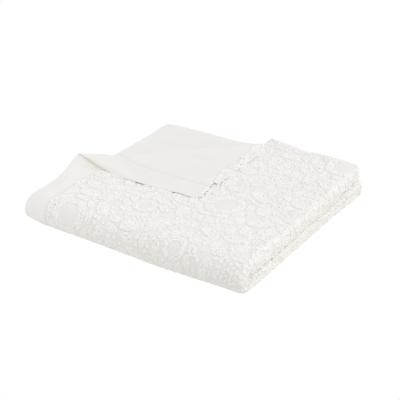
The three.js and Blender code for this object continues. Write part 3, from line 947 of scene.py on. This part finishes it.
hem_corner = TURN - HEM
sunk = HEM_EXTRA / 2 - GROOVE_DEPTH + THREAD_OUT
back_surface, face_surface = BACK_INNER - BACK_THICK - sunk, FACE_INNER + GROUND + sunk
back_stitches = stitches("back_hem_stitches", FIRST_STITCH, hem_corner + PAST_CORNER, -1, back_surface)
face_stitches = stitches("face_hem_stitches", hem_corner - PAST_CORNER, FRONT_END, 1, face_surface)

# %% [markdown]
# Every finish is built from nodes, because nodes follow the cloth at any distance and need no picture.
# `add` makes one node and feeds its sockets, with a value or a link. `maths` does the same for sums,
# `before` asks whether a place on the cloth lies before a line, and `carried` reads a share that the mesh
# carries. `toned` turns an amount into a tone between two, and `mixed_with` lays a second tone over the
# first. All finishes share one kind of cotton: matt, with a little sheen from loose fibres.

# %% Helpers for finishes
COTTON_SHINE, SHEEN_SPREAD = 0.2, 0.6
# Places of the colour sockets on a mix node.
MIX_SHARE, MIX_FIRST, MIX_SECOND, MIX_COLOUR = 0, 6, 7, 2


def feed(tree, socket, value):
    if isinstance(value, bpy.types.NodeSocket):
        tree.links.new(value, socket)
    else:
        socket.default_value = value


def feed_all(tree, node, sockets):
    for name, value in sockets.items():
        feed(tree, node.inputs[name.replace("_", " ")], value)


def add(tree, kind, **sockets):
    node = tree.nodes.new(kind)
    feed_all(tree, node, sockets)
    return node


def maths(tree, operation, *values):
    node = tree.nodes.new("ShaderNodeMath")
    node.operation = operation
    for socket, value in zip(node.inputs, values):
        feed(tree, socket, value)
    return node.outputs[0]


def before(tree, value, line):
    return maths(tree, "LESS_THAN", value, line / METRE)


def mixed_with(tree, share, colour, other):
    mix = tree.nodes.new("ShaderNodeMix")
    mix.data_type = "RGBA"
    for socket, value in ((MIX_SHARE, share), (MIX_FIRST, colour), (MIX_SECOND, (*other, 1))):
        feed(tree, mix.inputs[socket], value)
    return mix.outputs[MIX_COLOUR]


def toned(tree, amount, low, high, first=0.0, last=1.0):
    ramp = add(tree, "ShaderNodeValToRGB", Fac=amount)
    for element, tone, position in zip(ramp.color_ramp.elements, (low, high), (first, last)):
        element.color = (*tone, 1)
        element.position = position
    return ramp.outputs["Color"]


def carried(tree, name):
    attribute = tree.nodes.new("ShaderNodeAttribute")
    attribute.attribute_name = name
    return attribute.outputs["Fac"]


def cotton(name, roughness, sheen):
    material = bpy.data.materials.new(name)
    material.use_nodes = True
    shader = material.node_tree.nodes["Principled BSDF"]
    feed_all(material.node_tree, shader, {
        "Roughness": roughness, "Specular IOR Level": COTTON_SHINE,
        "Sheen Weight": sheen, "Sheen Roughness": SHEEN_SPREAD,
    })
    return material, material.node_tree, shader


print("cotton with a shine of", COTTON_SHINE)

# %% [markdown]
# Plain cotton is a plain weave: warp and weft cross each other, and no thread is even. Two wave textures
# run along the flat cloth's two directions, and their product is the pattern of crossings. Long thin
# noise makes the thick and thin places of the yarn. Modelled threads would be millions, so the weave is a
# fine bump.

# %% Weave
# A wave texture of scale one runs through this many radians in a metre.
WAVE_RADIANS = 20
SLUB_STRETCH, SLUB_RELIEF = (28, 900, 1), 0.8


def weave(tree, flat, pitch):
    rate = 2 * math.pi / (WAVE_RADIANS * pitch / METRE)
    threads = []
    for direction in ("X", "Y"):
        wave = add(tree, "ShaderNodeTexWave", Vector=flat, Scale=rate, Distortion=0.9, Detail=2.0,
                   Detail_Scale=0.4)
        wave.bands_direction = direction
        threads.append(wave.outputs["Fac"])
    crossing = maths(tree, "MULTIPLY", *threads)
    stretched = add(tree, "ShaderNodeMapping", Vector=flat, Scale=SLUB_STRETCH).outputs["Vector"]
    slub = add(tree, "ShaderNodeTexNoise", Vector=stretched, Scale=1.0, Detail=2.0).outputs["Fac"]
    relief = maths(tree, "MULTIPLY_ADD", slub, SLUB_RELIEF, crossing)
    bump = add(tree, "ShaderNodeBump", Height=relief, Strength=0.35, Distance=0.0003)
    return slub, bump.outputs["Normal"]


print("slubs stretched", SLUB_STRETCH)

# %% [markdown]
# Wide soft noise makes the faint clouds of tone in unbleached cotton. The ground is lighter in the hem,
# where the cloth is double, and greyer between the tufts, partly as painted shade of the pile around it.
# The hem's groove is darkened with painted shade. These follow the flat place of each point. The face's
# share of warm light, painted too, comes last.

# %% Woven finishes
# The groove's tone is painted shade, and the warm tone is painted light that comes through the cloth.
HEM_TONE, GROOVE_PAINTED_SHADE, WARM_TONE = (0.855, 0.845, 0.818), (0.62, 0.61, 0.58), (0.80, 0.765, 0.59)
GROUND_TONES = [(0.82, 0.81, 0.78), (0.85, 0.84, 0.815)]
PLAIN_TONES = [(0.815, 0.805, 0.775), (0.845, 0.835, 0.81)]
SLUB_TONE = 0.35


def hem_toned(tree, flat, tone, hem_shade, hem_white):
    along = add(tree, "ShaderNodeSeparateXYZ", Vector=flat).outputs
    from_line = maths(tree, "ABSOLUTE", maths(tree, "SUBTRACT", along["X"], HEM / METRE))
    # Painted shade: a darker tone along the hem's sewn groove, on the turned corner's part of the cloth.
    groove = add(tree, "ShaderNodeMapRange", Value=from_line, From_Max=GROOVE_REACH / METRE,
                 To_Min=hem_shade, To_Max=0.0).outputs["Result"]
    shade = maths(tree, "MULTIPLY", groove, before(tree, along["Y"], HAIRPIN_START))
    # The hem is lighter, as its cloth is double; the ground beyond it stays greyer, partly as painted shade
    # of the pile.
    in_hem = maths(tree, "MULTIPLY", before(tree, along["X"], HEM), hem_white)
    double_hem_and_pile_shade = mixed_with(tree, in_hem, tone, HEM_TONE)
    return mixed_with(tree, shade, double_hem_and_pile_shade, GROOVE_PAINTED_SHADE)


def woven_cotton(name, pitch, tones, hem_shade, hem_white):
    material, tree, shader = cotton(name, roughness=0.92, sheen=0.15)
    flat_cloth = tree.nodes.new("ShaderNodeUVMap")
    flat_cloth.uv_map = "flat_cloth"
    flat = flat_cloth.outputs["UV"]
    slub, normal = weave(tree, flat, pitch)
    clouds = add(tree, "ShaderNodeTexNoise", Vector=flat, Scale=17.0, Detail=4.0).outputs["Fac"]
    mixed = maths(tree, "MULTIPLY_ADD", slub, SLUB_TONE, clouds)
    share = add(tree, "ShaderNodeMapRange", Value=mixed, From_Min=0.4, From_Max=0.95).outputs["Result"]
    sewn = hem_toned(tree, flat, toned(tree, share, *tones), hem_shade, hem_white)
    glowing = mixed_with(tree, carried(tree, "warmth"), sewn, WARM_TONE)
    rough = add(tree, "ShaderNodeMapRange", Value=clouds, To_Min=0.86, To_Max=0.98).outputs["Result"]
    feed_all(tree, shader, {"Base Color": glowing, "Roughness": rough, "Normal": normal})
    return material


ground = woven_cotton("face_ground_cotton", pitch=0.8, tones=GROUND_TONES, hem_shade=0.15, hem_white=0.85)
plain = woven_cotton("plain_back_cotton", pitch=0.7, tones=PLAIN_TONES, hem_shade=0.8, hem_white=0.0)
face_cloth.data.materials.append(ground)
back_cloth.data.materials.append(plain)
print("woven finishes", ground.name, plain.name)

# %% [markdown]
# Tuft yarn is softer and whiter than the ground. Its roots lie in the shade of their neighbours, and that
# shade is painted: the tone darkens towards the root by the height in the tuft, which the meshes carry as
# `rise`. In the groove and at the rolled seam the painted shade of the roots is warmer still. Fine noise
# stands for the cut fibre ends, which are too many to model.

# %% Tuft yarn
# The root tones are painted shade at the foot of each tuft; the shaded one is warmer.
YARN_TIP, YARN_ROOT_SHADE, SHADED_ROOT = (0.889, 0.879, 0.856), (0.835, 0.818, 0.77), (0.79, 0.762, 0.675)
PATCH_SHARE, FIBRE_SHARE = 0.35, 0.3
SHADED_PIECES = ("rolled_seam_tufts", "groove_tufts")


def tuft_yarn(name, root):
    material, tree, shader = cotton(name, roughness=0.95, sheen=0.25)
    solid = tree.nodes.new("ShaderNodeTexCoord").outputs["Object"]
    patches = add(tree, "ShaderNodeTexNoise", Vector=solid, Scale=55.0, Detail=3.0).outputs["Fac"]
    fibres = add(tree, "ShaderNodeTexNoise", Vector=solid, Scale=1100.0, Detail=3.0, Roughness=0.7)
    ends = fibres.outputs["Fac"]
    # Painted shade: the tone goes from the root's shade to the tip's tone by the tuft's rise.
    lit = maths(tree, "MULTIPLY_ADD", patches, PATCH_SHARE, carried(tree, "rise"))
    grain = maths(tree, "MULTIPLY_ADD", ends, FIBRE_SHARE, lit)
    share = add(tree, "ShaderNodeMapRange", Value=grain, From_Min=0.1, From_Max=1.3).outputs["Result"]
    bump = add(tree, "ShaderNodeBump", Height=ends, Strength=0.45, Distance=0.0005).outputs["Normal"]
    rough = add(tree, "ShaderNodeMapRange", Value=ends, To_Min=0.88, To_Max=1.0).outputs["Result"]
    tone = toned(tree, share, root, YARN_TIP)
    feed_all(tree, shader, {"Base Color": tone, "Roughness": rough, "Normal": bump})
    return material


yarn = tuft_yarn("tuft_yarn", YARN_ROOT_SHADE)
shaded_yarn = tuft_yarn("shaded_tuft_yarn", SHADED_ROOT)
for piece in tuft_pieces:
    piece.data.materials.append(shaded_yarn if piece.name in SHADED_PIECES else yarn)
print("yarn on", len(tuft_pieces), "pieces")

# %% [markdown]
# Sewing thread is smoother than yarn, and a shade darker. The twist of its plies could be modelled as
# strands, but the stitches are so small that a fine slanting wave is enough.

# %% Sewing thread
THREAD_TONES = [(0.74, 0.73, 0.70), (0.84, 0.83, 0.80)]


def sewing_thread(name):
    material, tree, shader = cotton(name, roughness=0.7, sheen=0.1)
    solid = tree.nodes.new("ShaderNodeTexCoord").outputs["Object"]
    wave = add(tree, "ShaderNodeTexWave", Vector=solid, Scale=420.0, Distortion=1.5)
    wave.bands_direction = "DIAGONAL"
    plies = wave.outputs["Fac"]
    bump = add(tree, "ShaderNodeBump", Height=plies, Strength=0.4, Distance=0.0002).outputs["Normal"]
    feed_all(tree, shader, {"Base Color": toned(tree, plies, *THREAD_TONES), "Normal": bump})
    return material


thread = sewing_thread("hem_thread")
for piece in (back_stitches, face_stitches):
    piece.data.materials.append(thread)
print("thread on", back_stitches.name, face_stitches.name)

# %% [markdown]
# Every piece rides on the part's one body, because a folded cover has no joints. Each cloth stands for
# its node, which is hidden.

# %% Pieces on the body
SHEETS = [
    (face_cloth, "face_panel", "face_cloth", tuft_pieces + [face_stitches]),
    (back_cloth, "back_panel", "back_cloth", [back_stitches]),
]
for piece, node, slot, sewn_on in SHEETS:
    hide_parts(node)
    for item in [piece] + sewn_on:
        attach(item, "root")
print("sheets", [piece.name for piece, node, slot, sewn_on in SHEETS])

# %% [markdown]
# A catalogue picture of white bedding is taken in a white tent, lit until floor and walls are pure white.
# The tent that lights the cover here is a little darker than white, so by itself it would show as grey.
# That is why floor and walls are one open box that glows and throws no light on the cover: the shading of
# the folds stays soft and even.

# %% Floor and walls
ROOM_REACH, SIDES = 20, 4
floor_corners = [(x * ROOM_REACH, y * ROOM_REACH, z * ROOM_REACH)
                 for z in (0, 1) for x, y in ((-1, -1), (1, -1), (1, 1), (-1, 1))]
room_walls = [(side, (side + 1) % SIDES, (side + 1) % SIDES + SIDES, side + SIDES) for side in range(SIDES)]
floor_mesh = bpy.data.meshes.new("floor")
floor_mesh.from_pydata(floor_corners, [], [tuple(range(SIDES))] + room_walls)
floor = bpy.data.objects.new("floor", floor_mesh)
floor_paint = bpy.data.materials.new("pale_floor")
floor_paint.use_nodes = True
feed_all(floor_paint.node_tree, floor_paint.node_tree.nodes["Principled BSDF"], {
    "Base Color": (0, 0, 0, 1), "Specular IOR Level": 0,
    "Emission Color": (1, 1, 1, 1), "Emission Strength": 1.0,
})
floor.data.materials.append(floor_paint)
floor.visible_diffuse = False
floor.visible_glossy = False
floor.visible_shadow = False
bpy.context.scene.collection.objects.link(floor)
print("floor", 2 * ROOM_REACH, "m wide")

# %% [markdown]
# Most of the light comes from the tent itself: bright all round, and a little darker and warmer below.
# The tent is the world, a ramp from low to high, because a real tent of cloth would be slow to light
# through. The plain view transform keeps white as white.

# %% Light tent
TENT_LOW, TENT_HIGH = (0.757, 0.754, 0.704), (0.908, 0.908, 0.908)
RAMP_FIRST, RAMP_LAST = 0.25, 0.55
world = bpy.data.worlds.new("light_tent")
world.use_nodes = True
tent = world.node_tree
direction = tent.nodes.new("ShaderNodeTexCoord").outputs["Generated"]
upward = add(tent, "ShaderNodeSeparateXYZ", Vector=direction).outputs["Z"]
level = add(tent, "ShaderNodeMapRange", Value=upward, From_Min=-1.0).outputs["Result"]
tent_tone = toned(tent, level, TENT_LOW, TENT_HIGH, RAMP_FIRST, RAMP_LAST)
feed_all(tent, tent.nodes["Background"], {"Color": tent_tone})
bpy.context.scene.world = world
bpy.context.scene.view_settings.view_transform = "Standard"
print("tent from", TENT_LOW, "to", TENT_HIGH)

# %% [markdown]
# One wide soft lamp stands on the right and a faint one on the left. They are suns with wide angles, so
# their shadows have no edge and their light doesn't fall off. A small panel low at the front, near the
# left end, stands for the light that the white floor throws back: it is near, so it fades along the fold.

# %% Lamps
# Each lamp: its name, its strength, its width in radians, and the direction that it shines in.
LAMPS = [
    ("right_lamp", 0.7, 0.6, (-0.85, -0.2, -0.5)),
    ("left_lamp", 0.15, 1.0, (0.9, 0.2, -0.35)),
]
GLOW_POWER, GLOW_SIDE = 0.3, 0.5
GLOW_PLACE, GLOW_AIM = (-0.42, -0.72, -0.12), (0.15, 0.8, 0.3)


def hang(name, kind, energy, aim):
    lamp = bpy.data.objects.new(name, bpy.data.lights.new(name, kind))
    lamp.data.energy = energy
    lamp.rotation_mode = "QUATERNION"
    lamp.rotation_quaternion = Vector(aim).to_track_quat("-Z", "Y")
    bpy.context.scene.collection.objects.link(lamp)
    return lamp


for name, energy, width, aim in LAMPS:
    hang(name, "SUN", energy, aim).data.angle = width
glow = hang("floor_glow", "AREA", GLOW_POWER, GLOW_AIM)
glow.data.size = GLOW_SIDE
glow.location = GLOW_PLACE
glow.visible_camera = False
print("lamps", [name for name, energy, width, aim in LAMPS] + [glow.name])
